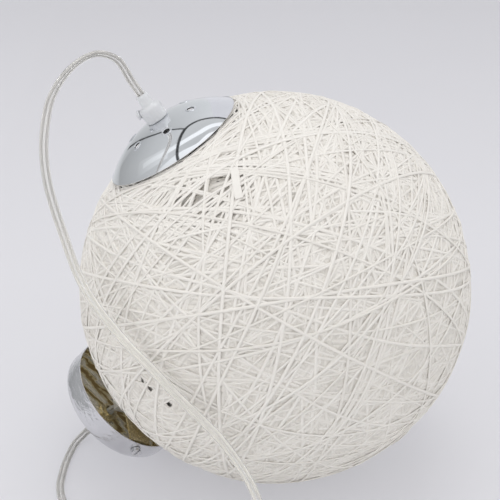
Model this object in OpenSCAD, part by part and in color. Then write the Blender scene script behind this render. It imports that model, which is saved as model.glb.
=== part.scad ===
// String globe pendant light, lying on a table with its flat twin cord and its ceiling canopy.
// Millimetres, +Z up. The globe rests on the origin and the front of the scene is -Y.

/* [Globe] */
// Outer diameter of the wound string globe
globe_d = 280; // [270:2:310]
// Thickness of the wound string wall
globe_wall = 4; // [3:0.5:6]
// Diameter of the opening under the cap
mouth_d = 84; // [78:1:90]
// Depth of the flat that the globe rests on
rest_depth = 0.5; // [0.3:0.1:0.8]
// Lean of the lamp's axis from upright
lean = 32.5; // [28:0.5:38]
// Direction of the lean, from +X towards +Y
lean_dir = 172.5; // [168:0.5:177]

/* [Cap] */
// Diameter of the domed cap
cap_d = 99; // [95:1:108]
// Height of the dome
cap_h = 18.5; // [16:0.5:24]
// Thickness of the pressed sheet of cap and canopy
sheet_t = 0.8; // [0.6:0.1:1.2]
// Number of vent holes in the cap
vent_n = 6; // [4:1:8]
// Diameter of a vent hole
vent_d = 5; // [4:0.5:7]
// Diameter of the circle of vent holes
vent_circle_d = 50; // [42:1:60]
// Turn of the first vent hole round the lamp's axis
vent_turn = 53; // [40:1:59]

/* [Threaded tubes and nuts] */
// Outside diameter of the threaded tubes
tube_d = 10; // [9.5:0.25:11]
// Bore of the threaded tubes
tube_bore = 8; // [7.25:0.25:8.5]
// Width of the hexagon nuts across their flats
nut_af = 14; // [13:0.5:16]
// Thickness of the hexagon nuts
nut_h = 3.2; // [2.6:0.2:4.4]

/* [Carrier bar] */
// Length of the bar that the globe hangs on
bar_l = 104; // [98:1:110]
// Width of the bar
bar_w = 16; // [15:0.5:20]
// Thickness of the bar
bar_t = 1.6; // [1.2:0.1:2.5]

/* [Cord grips] */
// Diameter of a grip's collar
collar_d = 16; // [14.5:0.5:20]
// Height of a grip's collar
collar_h = 11; // [10.5:0.5:14]
// Diameter of a grip's neck
throat_d = 8.6; // [8.2:0.2:10]
// Length of a grip's neck
throat_l = 9; // [7:0.5:12]
// Depth of the thread in a grip's collar
grip_thread = 5.5; // [4.5:0.5:6]
// Diameter of a clamp screw's shank
clamp_d = 3.6; // [3:0.2:4]
// Diameter of a clamp screw's head
clamp_head_d = 6; // [5:0.2:7]
// Thickness of a clamp screw's head
clamp_head_h = 2; // [1.6:0.2:3]

/* [Lampholder] */
// Outside diameter of the lampholder
holder_d = 40; // [39:0.5:44]
// Wall of the lampholder
holder_wall = 2; // [1.5:0.1:2.2]
// Diameter of the boss on the lampholder's cap
boss_d = 16; // [14.5:0.5:20]
// Height of the boss
boss_h = 8; // [6:0.5:9]
// Height of the lampholder's cap with its boss
holder_cap_h = 28; // [27:0.5:32]
// Length of the lampholder's skirt
skirt_l = 33; // [31:0.5:38]
// Thickness of the contact insert
insert_h = 8; // [6:0.5:9]
// Inside diameter of the screw shell
shell_bore = 27; // [26.8:0.1:27.4]
// Thickness of the screw shell
shell_t = 0.6; // [0.4:0.1:0.8]
// Length of the screw shell
shell_l = 21; // [18:0.5:23]
// Thickness of the centre contact's tongue
tongue_t = 0.6; // [0.4:0.1:1]
// Length of the tongue
tongue_l = 16; // [12:0.5:20]
// Width of the tongue
tongue_w = 5; // [4:0.5:7]
// Diameter of the dimple on the tongue
dimple_d = 5; // [4:0.5:7]
// Height of the dimple
dimple_h = 1.4; // [1:0.1:2]
// Width of a terminal in the lampholder
terminal_w = 6; // [5:0.5:7]
// Height of a terminal
terminal_h = 6; // [5:0.5:7]
// Distance between the two terminals
terminal_pitch = 21; // [18:0.5:23]
// Diameter of a terminal's screw
terminal_screw_d = 3; // [2.5:0.25:3.5]

/* [Bulb] */
// Largest diameter of the bulb
bulb_d = 60; // [54:1:64]
// Length of the bulb from its contact to its crown
bulb_l = 106; // [100:1:112]
// Diameter of the screw base
base_d = 26.2; // [25.8:0.1:26.2]
// Length of the screw base's metal shell
base_l = 22; // [20:0.5:24]
// Thickness of the base's metal shell
base_t = 0.5; // [0.3:0.1:0.8]
// Wall of the bulb
bulb_wall = 1; // [0.8:0.1:1.5]
// Height of the black insulator
insulator_h = 4; // [3:0.5:5]
// Diameter of the contact button
button_d = 9; // [7:0.5:10]
// Height of the contact button
button_h = 1.4; // [1:0.1:2]

/* [Canopy] */
// Diameter of the canopy's rim
canopy_d = 95; // [92:0.5:98]
// Depth of the canopy
canopy_depth = 30; // [28:0.5:31]
// Height of the straight wall above the rim
canopy_wall_h = 13; // [11.5:0.5:15]
// Lean of the canopy's open side from straight up
canopy_lean = 42; // [41:0.5:44]
// Direction of that lean, from +X towards +Y
canopy_dir = -7; // [-12:0.5:0]
// Gap between the globe and the plane of the rim that leans on it
canopy_gap = 0.4; // [0.3:0.1:1]
// Distance of the rim's centre from where the globe comes closest, up the slope
canopy_slip = 17; // [14:0.5:20]
// Distance of the rim's centre from there, towards the front
canopy_shift = 14.5; // [10:0.5:18]

/* [Ceiling bracket] */
// Turn of the bracket and its side screws round the canopy's axis
side_turn = -63; // [-75:1:-50]
// Width of the strap
strap_w = 18; // [17:0.5:22]
// Thickness of the strap
strap_t = 1.5; // [1.2:0.1:2]
// Height of the bent ears
ear_h = 12; // [10.5:0.5:13]
// Diameter of the ceiling screw holes
ceiling_hole_d = 4.8; // [4:0.2:6]
// Distance between the ceiling screw holes
ceiling_pitch = 56; // [50:1:62]
// Diameter of a side screw's shank
side_d = 3.8; // [3:0.2:4.4]
// Length of a side screw's shank
side_l = 9; // [7:0.5:11]
// Diameter of a side screw's head
side_head_d = 7.5; // [6:0.5:9]
// Thickness of a side screw's head
side_head_h = 3; // [2:0.25:4]

/* [Terminal block] */
// Length of the block, along the strap
block_l = 20; // [18:0.5:24]
// Width of the block
block_w = 15; // [13:0.5:17]
// Height of the block
block_h = 11; // [9:0.5:12]
// Diameter of a screw in the block
block_screw_d = 3.4; // [2.8:0.2:4]
// Half the distance between the two leads at the block
lead_spread = 5; // [3.5:0.5:6]

/* [Cord] */
// Width of the flat twin cord
cord_w = 6; // [5.5:0.25:6.25]
// Thickness of the flat twin cord
cord_t = 3; // [2.6:0.1:3.2]
// Diameter of one insulated lead
lead_d = 2.2; // [1.8:0.1:2.4]
// Turns of a layer in the coil
layer_turns = 0.75; // [0.75:1:1.75]
// Radius of the coil's outer turn
coil_out_r = 36.5; // [36:0.5:40]
// Radius of the coil's inner turn
coil_in_r = 30; // [28:0.5:30]
// Gap between the two layers of the coil
layer_gap = 0.6; // [0.5:0.1:1]
// Width of the tie round the coil
tie_w = 4; // [3:0.5:8]
// Thickness of the tie
tie_t = 0.4; // [0.3:0.1:0.5]

/* [Hidden] */

$fn = 96;
// Working clearances: pieces that only rest on each other, and pieces that slide
seat = 0.05;
slide = 0.2;
through = 1;

// Globe and cap, measured along the lamp's axis from the globe's centre
globe_r = globe_d / 2;
globe_z = globe_r - rest_depth;
cap_r = cap_d / 2;
cap_ball_r = (pow(cap_r, 2) + pow(cap_h, 2)) / (2 * cap_h);
cap_inner_r = sqrt(pow(cap_ball_r - sheet_t, 2) - pow(cap_ball_r - cap_h, 2));
cap_rim = sqrt(pow(globe_r, 2) - pow(cap_inner_r, 2)) + slide;
cap_ball = cap_rim + cap_h - cap_ball_r;
tube_hole_d = tube_d + 2 * slide;
nut_corner_r = nut_af / sqrt(3);

// Levels of the stack on the cap's tube
cap_grip_at = cap_ball + sqrt(pow(cap_ball_r, 2) - pow(tube_hole_d / 2, 2)) + seat;
cap_nut_top = cap_ball + sqrt(pow(cap_ball_r - sheet_t, 2) - pow(nut_corner_r, 2)) - seat;
bar_top = sqrt(pow(globe_r - globe_wall, 2) - pow(bar_l / 2, 2) - pow(bar_w / 2, 2)) - seat;
bar_nut_top = bar_top - bar_t;
holder_top = bar_nut_top - nut_h;
tube_engaged = grip_thread - slide;
grip_l = collar_h + throat_l;
cap_mouth = cap_grip_at + grip_l;
cord_bore_d = cord_w + 2 * slide;

// Lampholder and bulb
holder_r = holder_d / 2;
holder_bore_r = holder_r - holder_wall;
insert_top = holder_top - holder_cap_h;
insert_under = insert_top - insert_h;
shell_r = shell_bore / 2 + shell_t;
ledge_r = shell_r + 2 * slide;
terminal_at = terminal_pitch / 2;
terminal_top = insert_top + terminal_h;
bulb_top = insert_under - tongue_t - dimple_h - 2 * slide;
base_shoulder_r = button_d / 2 + 1.5;
base_top = bulb_top - button_h - insulator_h;
base_end = base_top - base_l;
bulb_r = bulb_d / 2;
bulb_ball = bulb_top - bulb_l + bulb_r;
bulb_waist_r = base_d / 2 + 1.5;
bulb_flare = 30;

// Canopy, measured along its own axis from the rim's plane, with the open side up
canopy_r = canopy_d / 2;
dome_h = canopy_depth - canopy_wall_h;
dome_steps = 16;
canopy_hole_drop = dome_h * (1 - sqrt(1 - pow(tube_hole_d / 2 / canopy_r, 2)));
canopy_grip_at = -canopy_depth + canopy_hole_drop - seat;
canopy_nut_r = canopy_r - sheet_t;
canopy_nut_drop = (dome_h - sheet_t) * (1 - sqrt(1 - pow(nut_corner_r / canopy_nut_r, 2)));
canopy_nut_at = -canopy_depth + sheet_t + canopy_nut_drop + seat;
canopy_tube_top = canopy_nut_at + nut_h + through;
canopy_mouth = canopy_grip_at - grip_l;
strap_l = 2 * (canopy_r - sheet_t - slide);
side_at = -(strap_t + ear_h) / 2;
block_under = -strap_t - block_h;
elbow_d = 1.05 * lead_d;

// Section of the flat cord, in its width and thickness, with six or eight corners
cord_edge = cord_t * 0.3;
cord_six = [
    [cord_w / 2, 0],
    [cord_w / 2 - cord_edge, cord_t / 2],
    [cord_edge - cord_w / 2, cord_t / 2],
    [-cord_w / 2, 0],
    [cord_edge - cord_w / 2, -cord_t / 2],
    [cord_w / 2 - cord_edge, -cord_t / 2]
];
cord_eight = [
    [cord_w / 2, -cord_t / 5],
    [cord_w / 2, cord_t / 5],
    [cord_w / 2 - cord_edge, cord_t / 2],
    [cord_edge - cord_w / 2, cord_t / 2],
    [-cord_w / 2, cord_t / 5],
    [-cord_w / 2, -cord_t / 5],
    [cord_edge - cord_w / 2, -cord_t / 2],
    [cord_w / 2 - cord_edge, -cord_t / 2]
];

// Directions and places of the two tilted assemblies in the scene
function tilted(v, tilt, dir) =
    let (a = v[0] * cos(tilt) + v[2] * sin(tilt), c = v[2] * cos(tilt) - v[0] * sin(tilt))
    [a * cos(dir) - v[1] * sin(dir), a * sin(dir) + v[1] * cos(dir), c];
function on_lamp(v) = [0, 0, globe_z] + tilted(v, lean, lean_dir);
canopy_at =
    [0, 0, globe_z] - tilted([canopy_slip, canopy_shift, globe_r + canopy_gap], canopy_lean, canopy_dir);
function on_canopy(v) = canopy_at + tilted(v, canopy_lean, canopy_dir);

// Coil: two layers, in and out again, climbing in the half turn where the spiral reverses
coil_x = -78;
coil_y = -142;
coil_low = cord_w / 2 + tie_t + 2 * seat;
coil_high = coil_low + cord_w + layer_gap;
coil_turns = 2 * layer_turns + 0.5;
coil_start = 90;
rings_per_loop = 24;
function coil_r(s) =
    coil_out_r - (coil_out_r - coil_in_r) * min(1, s / layer_turns, (coil_turns - s) / layer_turns);
function coil_climb(s) = let (u = max(0, min(1, (s - layer_turns) * 2))) u * u * (3 - 2 * u);
function coil_point(s) = [
    coil_x + coil_r(s) * cos(coil_start + 360 * s),
    coil_y + coil_r(s) * sin(coil_start + 360 * s),
    coil_low + (coil_high - coil_low) * coil_climb(s)
];
coil_in = [coil_x + cord_w, coil_y + coil_out_r, coil_low];
coil_end = [coil_x - cord_w, coil_y + coil_out_r, coil_high];
coil_path = [
    coil_in,
    for (k = [0:coil_turns * rings_per_loop]) coil_point(k / rings_per_loop),
    coil_end
];
upright = [0, 0, 1];

// Route of the cord from the cap to the coil: points, each with the way that its broad side runs
loop_route = [
    [on_lamp([0, 0, cap_mouth]), tilted([-1, 0, 0], lean, lean_dir)],
    [on_lamp([0, 0, cap_mouth + 6]), tilted([-1, 0, 0], lean, lean_dir)],
    [on_lamp([0, 0, cap_mouth + 12]), tilted([-1, 0, 0], lean, lean_dir)],
    [[-104, 9, 308], [0.8, 0.3, 0.3]],
    [[-114, 1, 316], [0.6, 0.7, 0.0]],
    [[-123, -8, 317], [0.5, 0.8, 0.2]],
    [[-132, -18, 313], [0.5, 0.7, 0.5]],
    [[-140, -29, 305], [0.7, 0.4, 0.6]],
    [[-145, -38, 294], [0.9, 0.2, 0.4]],
    [[-147, -52, 276], [1, 0, 0.1]],
    [[-145, -63, 258], [1, 0, 0]],
    [[-141, -70, 243], [1, 0, 0.1]],
    [[-136, -76, 228], [0.9, 0.1, 0.2]],
    [[-127, -86, 203], [0.9, 0.2, 0.3]],
    [[-117, -95, 187], [0.8, 0.3, 0.5]],
    [[-106, -103, 175], [0.7, 0.3, 0.6]],
    [[-93, -113, 164], [0.7, 0.3, 0.6]],
    [[-80, -122, 155], [0.7, 0.3, 0.6]],
    [[-68, -130, 145], [0.7, 0.3, 0.6]],
    [[-55, -138, 135], [0.7, 0.3, 0.6]],
    [[-36, -147, 118], [0.8, 0.3, 0.5]],
    [[-21, -154, 97], [0.8, 0.3, 0.4]],
    [[-13, -158, 79], [0.9, 0.3, 0.3]],
    [[-8, -160, 61], [0.9, 0.4, 0.1]],
    [[-5, -158, 44], [0.9, 0.5, 0]],
    [[-5, -153, 29], [0.8, 0.6, 0]],
    [[-9, -144, 16], [0.7, 0.7, 0]],
    [[-18, -132, 7], [0.6, 0.8, 0.2]],
    [[-30, -119, 4], [0.4, 0.7, 0.6]],
    [[-42, -109, coil_low], [0.1, 0.3, 0.9]],
    [coil_in + [16, 0, 0], upright],
    [coil_in + [8, 0, 0], upright],
    [coil_in, upright]
];

// Route of the cord from the coil to the canopy
tail_route = [
    [coil_end, upright],
    [coil_end - [6, 0, 0], upright],
    [coil_end - [12, 0, 0], upright],
    [[-108, -104, 8.5], [0, 0.2, 1]],
    [[-119, -101, 6], [0.1, 0.5, 0.9]],
    [[-130, -97, 3.8], [0.3, 0.8, 0.5]],
    [[-140, -90, 2.4], [0.5, 0.8, 0.2]],
    [[-148, -81, 1.8], [0.8, 0.6, 0]],
    [[-154, -69, 1.7], [0.9, 0.3, 0]],
    [[-157, -55, 1.7], [1, 0.1, 0]],
    [[-157, -41, 1.7], [1, 0, 0]],
    [[-156, -28, 1.7], [1, -0.1, 0]],
    [[-154, -16, 1.8], [1, -0.2, -0.1]],
    [[-151, -6, 2.6], [0.9, -0.3, -0.4]],
    [on_canopy([0, 0, canopy_mouth - 6]), tilted([1, 0, 0], canopy_lean, canopy_dir)],
    [on_canopy([0, 0, canopy_mouth - 3]), tilted([1, 0, 0], canopy_lean, canopy_dir)],
    [on_canopy([0, 0, canopy_mouth]), tilted([1, 0, 0], canopy_lean, canopy_dir)]
];

// Sweeping a section along a smooth route
rings_per_step = 2;
function column(rows, k) = [for (row = rows) row[k]];
function unit(v) = v / norm(v);
function heading(path, i) = unit(path[min(i + 1, len(path) - 1)] - path[max(i - 1, 0)]);
function blend(a, b, c, d, u) =
    b + (c - a) * u / 2 + (2 * a - 5 * b + 4 * c - d) * u * u / 2
    + (3 * b - a - 3 * c + d) * u * u * u / 2;
function smooth(p, n) = [
    for (i = [0:len(p) - 2], k = [0:n - 1])
        blend(p[max(i - 1, 0)], p[i], p[i + 1], p[min(i + 2, len(p) - 1)], k / n),
    p[len(p) - 1]
];
function ring(at, ahead, broad, outline) =
    let (w = unit(broad - (broad * ahead) * ahead), t = cross(ahead, w))
    [for (q = outline) at + q[0] * w + q[1] * t];
function sweep_points(path, broads, outline) = [
    for (i = [0:len(path) - 1]) each ring(path[i], heading(path, i), broads[i], outline)
];
function sweep_faces(rings, sides) = [
    for (i = [0:rings - 2], j = [0:sides - 1])
        let (a = i * sides + j, b = i * sides + (j + 1) % sides)
        each [[a, a + sides, b + sides], [a, b + sides, b]],
    for (j = [1:sides - 2]) [0, j, j + 1],
    for (j = [1:sides - 2]) let (z = (rings - 1) * sides) [z, z + j + 1, z + j]
];
function path_length(p) = len(p) < 2 ? 0 : let (n = len(p) - 1)
    [for (i = 0, s = 0; i <= n; s = i < n ? s + norm(p[i + 1] - p[i]) : s, i = i + 1) s][n];

coil_broads = [for (p = coil_path) upright];
coil_corners = sweep_points(coil_path, coil_broads, cord_six);
loop_path = smooth(column(loop_route, 0), rings_per_step);
loop_broads = smooth(column(loop_route, 1), rings_per_step);
tail_path = smooth(column(tail_route, 0), rings_per_step);
tail_broads = smooth(column(tail_route, 1), rings_per_step);

// Least gap of the coil to itself, between corners at least a third of a turn apart
apart = rings_per_loop / 3;
sides = len(cord_six);
coil_gap = min([
    for (i = [0:len(coil_path) - 1], j = [i + apart:1:len(coil_path) - 1], a = [0:sides - 1], b = [0:sides - 1])
        norm(coil_corners[i * sides + a] - coil_corners[j * sides + b])
]);
echo(coil_least_gap_mm = coil_gap);
echo(cord_length_mm = path_length(loop_path) + path_length(coil_path) + path_length(tail_path));

// Placing
module in_lamp() {
    translate([0, 0, globe_z])
        rotate([0, 0, lean_dir])
            rotate([0, lean, 0])
                children();
}

module in_canopy() {
    translate(canopy_at)
        rotate([0, 0, canopy_dir])
            rotate([0, canopy_lean, 0])
                children();
}

module turned(outline) {
    rotate_extrude()
        polygon(outline);
}

// A cylinder that starts at a given level
module post(d, from, to) {
    translate([0, 0, from])
        cylinder(d = d, h = to - from);
}

// A bar with rectangular section, centred on the axis, between two levels
module slab(l, w, from, to) {
    translate([-l / 2, -w / 2, from])
        cube([l, w, to - from]);
}

module swept(path, broads, outline) {
    polyhedron(
        points = sweep_points(path, broads, outline),
        faces = sweep_faces(len(path), len(outline)),
        convexity = 10
    );
}

// A hexagon nut with its lower face on a level
module nut(at) {
    difference() {
        translate([0, 0, at])
            cylinder(r = nut_corner_r, h = nut_h, $fn = 6);
        post(tube_d + 2 * seat, at - through, at + nut_h + through);
    }
}

module threaded_tube(from, to) {
    difference() {
        post(tube_d, from, to);
        post(tube_bore, from - through, to + through);
    }
}

// A cord grip that stands on the level 0, with its clamp screw's hole towards +X
clamp_at = (grip_thread + collar_h) / 2;
module grip() {
    difference() {
        union() {
            post(collar_d, 0, collar_h);
            post(throat_d, collar_h, grip_l);
        }
        post(tube_d + 2 * seat, -through, grip_thread);
        post(cord_bore_d, 0, grip_l + through);
        translate([0, 0, clamp_at])
            rotate([0, 90, 0])
                cylinder(d = clamp_d + 2 * slide, h = collar_d);
    }
}

module clamp_screw() {
    tip = cord_bore_d / 2;
    seat_x = collar_d / 2 + slide;
    translate([0, 0, clamp_at])
        rotate([0, 90, 0])
            difference() {
                union() {
                    post(clamp_d, tip, seat_x + through / 2);
                    post(clamp_head_d, seat_x, seat_x + clamp_head_h);
                }
                slab(clamp_head_d, clamp_head_h / 4, seat_x + clamp_head_h / 2, collar_d);
            }
}

// A straight piece of cord between two levels, its broad side along X
module straight_cord(from, to) {
    translate([0, 0, from])
        linear_extrude(to - from)
            polygon(cord_eight);
}

// A bent insulated lead through a few points
module lead(points) {
    for (i = [0:len(points) - 2]) {
        run = points[i + 1] - points[i];
        translate(points[i])
            rotate([0, acos(run[2] / norm(run)), atan2(run[1], run[0])])
                cylinder(d = lead_d, h = norm(run), $fn = 24);
    }
    for (i = [1:1:len(points) - 2])
        translate(points[i])
            sphere(d = elbow_d, $fn = 24);
}

// Globe and cap
module string_globe() {
    color([0.93, 0.91, 0.87])
        difference() {
            in_lamp()
                difference() {
                    sphere(globe_r, $fn = 180);
                    sphere(globe_r - globe_wall, $fn = 180);
                    post(mouth_d, 0, globe_d);
                }
            translate([-globe_r, -globe_r, -globe_r])
                cube([globe_d, globe_d, globe_r]);
        }
}

module globe_cap() {
    color([0.78, 0.79, 0.81])
        in_lamp()
            difference() {
                translate([0, 0, cap_ball])
                    sphere(cap_ball_r, $fn = 180);
                translate([0, 0, cap_ball])
                    sphere(cap_ball_r - sheet_t, $fn = 180);
                slab(3 * cap_ball_r, 3 * cap_ball_r, cap_ball - 2 * cap_ball_r, cap_rim);
                post(tube_hole_d, cap_rim, cap_mouth);
                for (k = [0:vent_n - 1])
                    rotate([0, 0, vent_turn + 360 / vent_n * k])
                        translate([vent_circle_d / 2, 0, 0])
                            post(vent_d, cap_rim, cap_mouth);
            }
}

module cap_grip() {
    color([0.88, 0.89, 0.9])
        in_lamp()
            translate([0, 0, cap_grip_at])
                grip();
}

module cap_clamp_screw() {
    color([0.84, 0.85, 0.86])
        in_lamp()
            translate([0, 0, cap_grip_at])
                clamp_screw();
}

module cap_tube() {
    color([0.72, 0.72, 0.74])
        in_lamp()
            threaded_tube(holder_top - boss_h, cap_grip_at + tube_engaged);
}

module cap_nut() {
    color([0.72, 0.72, 0.74])
        in_lamp()
            nut(cap_nut_top - nut_h);
}

module carrier_bar() {
    color([0.7, 0.71, 0.73])
        in_lamp()
            difference() {
                slab(bar_l, bar_w, bar_top - bar_t, bar_top);
                post(tube_hole_d, bar_top - bar_t - through, bar_top + through);
            }
}

module carrier_nut() {
    color([0.72, 0.72, 0.74])
        in_lamp()
            nut(holder_top);
}

// Lampholder
module holder_cap() {
    shoulder = holder_top - boss_h;
    straight = insert_top + (shoulder - insert_top) / 2;
    color([0.93, 0.92, 0.9])
        in_lamp()
            turned([
                [tube_d / 2 + seat, holder_top - seat],
                [boss_d / 2, holder_top - seat],
                [boss_d / 2, shoulder],
                [holder_r, straight],
                [holder_r, insert_top],
                [holder_bore_r, insert_top],
                [holder_bore_r, straight - holder_wall / 2],
                [boss_d / 2, shoulder - holder_wall],
                [tube_d / 2 + seat, shoulder - holder_wall]
            ]);
}

module holder_skirt() {
    foot = insert_top - skirt_l;
    color([0.93, 0.92, 0.9])
        in_lamp()
            turned([
                [holder_bore_r, insert_top],
                [holder_r, insert_top],
                [holder_r, foot],
                [ledge_r, foot],
                [ledge_r, insert_under],
                [holder_bore_r, insert_under]
            ]);
}

module holder_insert() {
    color([0.96, 0.95, 0.92])
        in_lamp()
            post(2 * (holder_bore_r - seat), insert_under, insert_top - seat);
}

module screw_shell() {
    color([0.85, 0.7, 0.35])
        in_lamp()
            difference() {
                post(2 * shell_r, insert_under - shell_l, insert_under);
                post(shell_bore, insert_under - shell_l - through, insert_under + through);
            }
}

module centre_contact() {
    under = insert_under - tongue_t;
    color([0.85, 0.7, 0.35])
        in_lamp() {
            slab(tongue_l, tongue_w, under, insert_under);
            post(dimple_d, under - dimple_h, under);
        }
}

module holder_terminals() {
    color([0.85, 0.7, 0.35])
        in_lamp()
            for (s = [-1, 1])
                translate([s * terminal_at, 0, 0])
                    difference() {
                        slab(terminal_w, terminal_w, insert_top - seat, terminal_top);
                        translate([0, 0, insert_top + terminal_h / 2])
                            rotate([90, 0, 0])
                                cylinder(d = terminal_screw_d + 2 * seat, h = terminal_w);
                    }
}

module holder_terminal_screws() {
    color([0.75, 0.75, 0.77])
        in_lamp()
            for (s = [-1, 1])
                translate([s * terminal_at, 0, insert_top + terminal_h / 2])
                    rotate([90, 0, 0]) {
                        post(terminal_screw_d, through, terminal_w / 2 + through);
                        post(terminal_screw_d * 1.6, terminal_w / 2, terminal_w / 2 + through);
                    }
}

module holder_leads() {
    start = holder_top - boss_h - seat;
    color([0.85, 0.85, 0.85])
        in_lamp()
            for (s = [-1, 1])
                lead([
                    [s * cord_w / 4, 0, start],
                    [s * cord_w / 4, 0, start - 1.5 * lead_d],
                    [s * terminal_at, 0, terminal_top + 1.5 * lead_d],
                    [s * terminal_at, 0, terminal_top]
                ]);
}

module cap_cord() {
    color([0.9, 0.9, 0.88])
        in_lamp()
            straight_cord(holder_top - boss_h, cap_mouth);
}

// Bulb
module bulb_form(inset) {
    r = bulb_r - inset;
    translate([0, 0, bulb_ball])
        sphere(r, $fn = 120);
    turned([
        [0, bulb_ball],
        [r * cos(bulb_flare), bulb_ball + r * sin(bulb_flare)],
        [bulb_waist_r - inset, base_end - through],
        [bulb_waist_r - inset, base_end + inset],
        [0, base_end + inset]
    ]);
}

module bulb_glass() {
    color([0.97, 0.97, 0.95])
        in_lamp()
            difference() {
                bulb_form(0);
                bulb_form(bulb_wall);
            }
}

module bulb_base() {
    color([0.78, 0.78, 0.8])
        in_lamp()
            turned([
                [0, base_top],
                [base_shoulder_r, base_top],
                [base_d / 2, base_top - insulator_h / 2],
                [base_d / 2, base_end],
                [base_d / 2 - base_t, base_end],
                [base_d / 2 - base_t, base_top - insulator_h / 2 - base_t],
                [0, base_top - insulator_h / 2 - base_t]
            ]);
}

module bulb_insulator() {
    color([0.1, 0.1, 0.11])
        in_lamp()
            turned([
                [0, base_top],
                [base_shoulder_r, base_top],
                [button_d / 2, bulb_top - button_h],
                [0, bulb_top - button_h]
            ]);
}

module bulb_button() {
    color([0.7, 0.7, 0.7])
        in_lamp()
            post(button_d * 0.8, bulb_top - button_h, bulb_top);
}

// Canopy
function dome_line(r, h, from) = [
    for (k = [0:dome_steps]) let (a = 90 * k / dome_steps) [r * cos(a), from - h * sin(a)]
];

module canopy_shell() {
    inner = dome_line(canopy_r - sheet_t, dome_h - sheet_t, -canopy_wall_h);
    color([0.7, 0.7, 0.71])
        in_canopy()
            difference() {
                turned(concat(
                    [[canopy_r, 0]],
                    dome_line(canopy_r, dome_h, -canopy_wall_h),
                    [for (k = [dome_steps:-1:0]) inner[k]],
                    [[canopy_r - sheet_t, 0]]
                ));
                post(tube_hole_d, -canopy_depth - through, -canopy_wall_h);
                for (s = [0, 180])
                    rotate([0, 0, side_turn + s])
                        translate([0, 0, side_at])
                            rotate([0, 90, 0])
                                cylinder(d = side_d + 2 * slide, h = canopy_d);
            }
}

module canopy_grip() {
    color([0.88, 0.89, 0.9])
        in_canopy()
            translate([0, 0, canopy_grip_at])
                rotate([180, 0, 180])
                    grip();
}

module canopy_clamp_screw() {
    color([0.84, 0.85, 0.86])
        in_canopy()
            translate([0, 0, canopy_grip_at])
                rotate([180, 0, 180])
                    clamp_screw();
}

module canopy_tube() {
    color([0.72, 0.72, 0.74])
        in_canopy()
            threaded_tube(canopy_grip_at - tube_engaged, canopy_tube_top);
}

module canopy_nut() {
    color([0.72, 0.72, 0.74])
        in_canopy()
            nut(canopy_nut_at);
}

module ceiling_bracket() {
    color([0.74, 0.74, 0.75])
        in_canopy()
            rotate([0, 0, side_turn])
                difference() {
                    union() {
                        slab(strap_l - 2 * strap_t, strap_w, -strap_t, 0);
                        for (s = [0, 180])
                            rotate([0, 0, s])
                                translate([strap_l / 2 - 1.5 * strap_t, 0, 0])
                                    slab(strap_t, strap_w, -strap_t - ear_h, 0);
                    }
                    for (s = [-1, 1])
                        translate([s * ceiling_pitch / 2, 0, 0])
                            post(ceiling_hole_d, -strap_t - through, through);
                    translate([-strap_l / 2, 0, side_at])
                        rotate([0, 90, 0])
                            cylinder(d = side_d + 2 * slide, h = strap_l);
                }
}

module side_screw(turn) {
    seat_x = canopy_r + slide;
    color([0.75, 0.75, 0.77])
        in_canopy()
            rotate([0, 0, side_turn + turn])
                translate([0, 0, side_at])
                    rotate([0, 90, 0])
                        difference() {
                            union() {
                                post(side_d, seat_x - side_l, seat_x + through / 2);
                                post(side_head_d, seat_x, seat_x + side_head_h);
                            }
                            slab(side_head_d, side_head_h / 3, seat_x + side_head_h / 2, canopy_d);
                        }
}

module side_screw_front() {
    side_screw(0);
}

module side_screw_back() {
    side_screw(180);
}

module terminal_block() {
    color([0.93, 0.93, 0.9])
        in_canopy()
            rotate([0, 0, side_turn])
                difference() {
                    slab(block_l, block_w, block_under, -strap_t);
                    block_screw_places()
                        post(block_screw_d + 2 * seat, block_under - through, block_under + block_h / 2);
                }
}

module block_screw_places() {
    for (x = [-1, 1], y = [-1, 1])
        translate([x * block_l / 4, y * block_w / 4, 0])
            children();
}

module terminal_screws() {
    color([0.76, 0.75, 0.72])
        in_canopy()
            rotate([0, 0, side_turn])
                block_screw_places()
                    post(block_screw_d, block_under + block_h / 8, block_under + block_h / 2);
}

module canopy_leads() {
    side = block_w / 2 + seat;
    out = side + 2 * lead_d;
    level = (block_under - strap_t) / 2;
    across = cord_w / 4 * [cos(side_turn), -sin(side_turn)];
    color([0.85, 0.85, 0.85])
        in_canopy()
            rotate([0, 0, side_turn])
                for (s = [-1, 1])
                    lead([
                        [s * across[0], s * across[1], canopy_tube_top + seat],
                        [s * across[0], s * across[1], canopy_tube_top + 1.5 * lead_d],
                        [s * lead_spread, out, block_under - lead_d],
                        [s * lead_spread, out, level],
                        [s * lead_spread, side, level]
                    ]);
}

module canopy_cord() {
    color([0.9, 0.9, 0.88])
        in_canopy()
            straight_cord(canopy_mouth, canopy_tube_top);
}

// Cord
module cord_loop() {
    color([0.88, 0.88, 0.86])
        swept(loop_path, loop_broads, cord_eight);
}

module cord_coil() {
    color([0.88, 0.88, 0.86])
        swept(coil_path, coil_broads, cord_six);
}

module cord_tail() {
    color([0.88, 0.88, 0.86])
        swept(tail_path, tail_broads, cord_eight);
}

// A band round both layers, at the front of the coil
module coil_tie() {
    under = coil_low - cord_w / 2 - seat;
    over = coil_high + cord_w / 2 + seat;
    middle = coil_r(coil_turns / 2 - 0.5);
    bend = tie_w * tan(180 / rings_per_loop);
    half = cord_t / 2 + bend + 2 * seat;
    color([0.15, 0.15, 0.16])
        translate([coil_x, coil_y - middle, 0])
            difference() {
                slab(tie_w, 2 * (half + tie_t), under - tie_t, over + tie_t);
                slab(tie_w + through, 2 * half, under, over);
            }
}

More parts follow.
